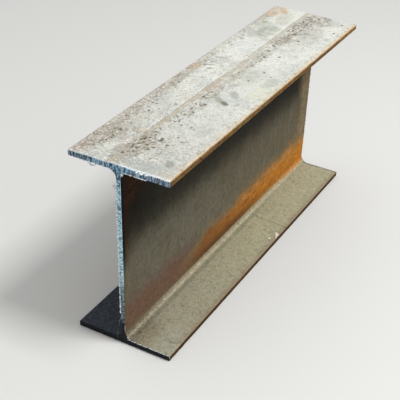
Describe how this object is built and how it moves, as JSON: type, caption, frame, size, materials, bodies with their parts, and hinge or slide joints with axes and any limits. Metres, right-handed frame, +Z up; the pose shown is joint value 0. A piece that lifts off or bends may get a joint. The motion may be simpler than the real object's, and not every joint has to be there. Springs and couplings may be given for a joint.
{
  "type": "steel h-beam",
  "caption": "Short length of hot-rolled steel H-beam with torch-cut ends, lying on its lower flange, its grey mill scale stained with rust.",
  "frame": {"origin": "centre of the beam's footprint, on the floor under its lower flange", "axes": "+Y along the beam, +X across the flanges, +Z up through the web from the lower flange to the upper one"},
  "size_m": [0.15, 0.5999, 0.3],
  "materials": {
    "rolled_steel": "bare hot-rolled steel: grey mill scale with rust staining, freshly torch-cut ends"
  },
  "bodies": {
    "root": {"h_beam": "rolled_steel"}
  },
  "joints": []
}
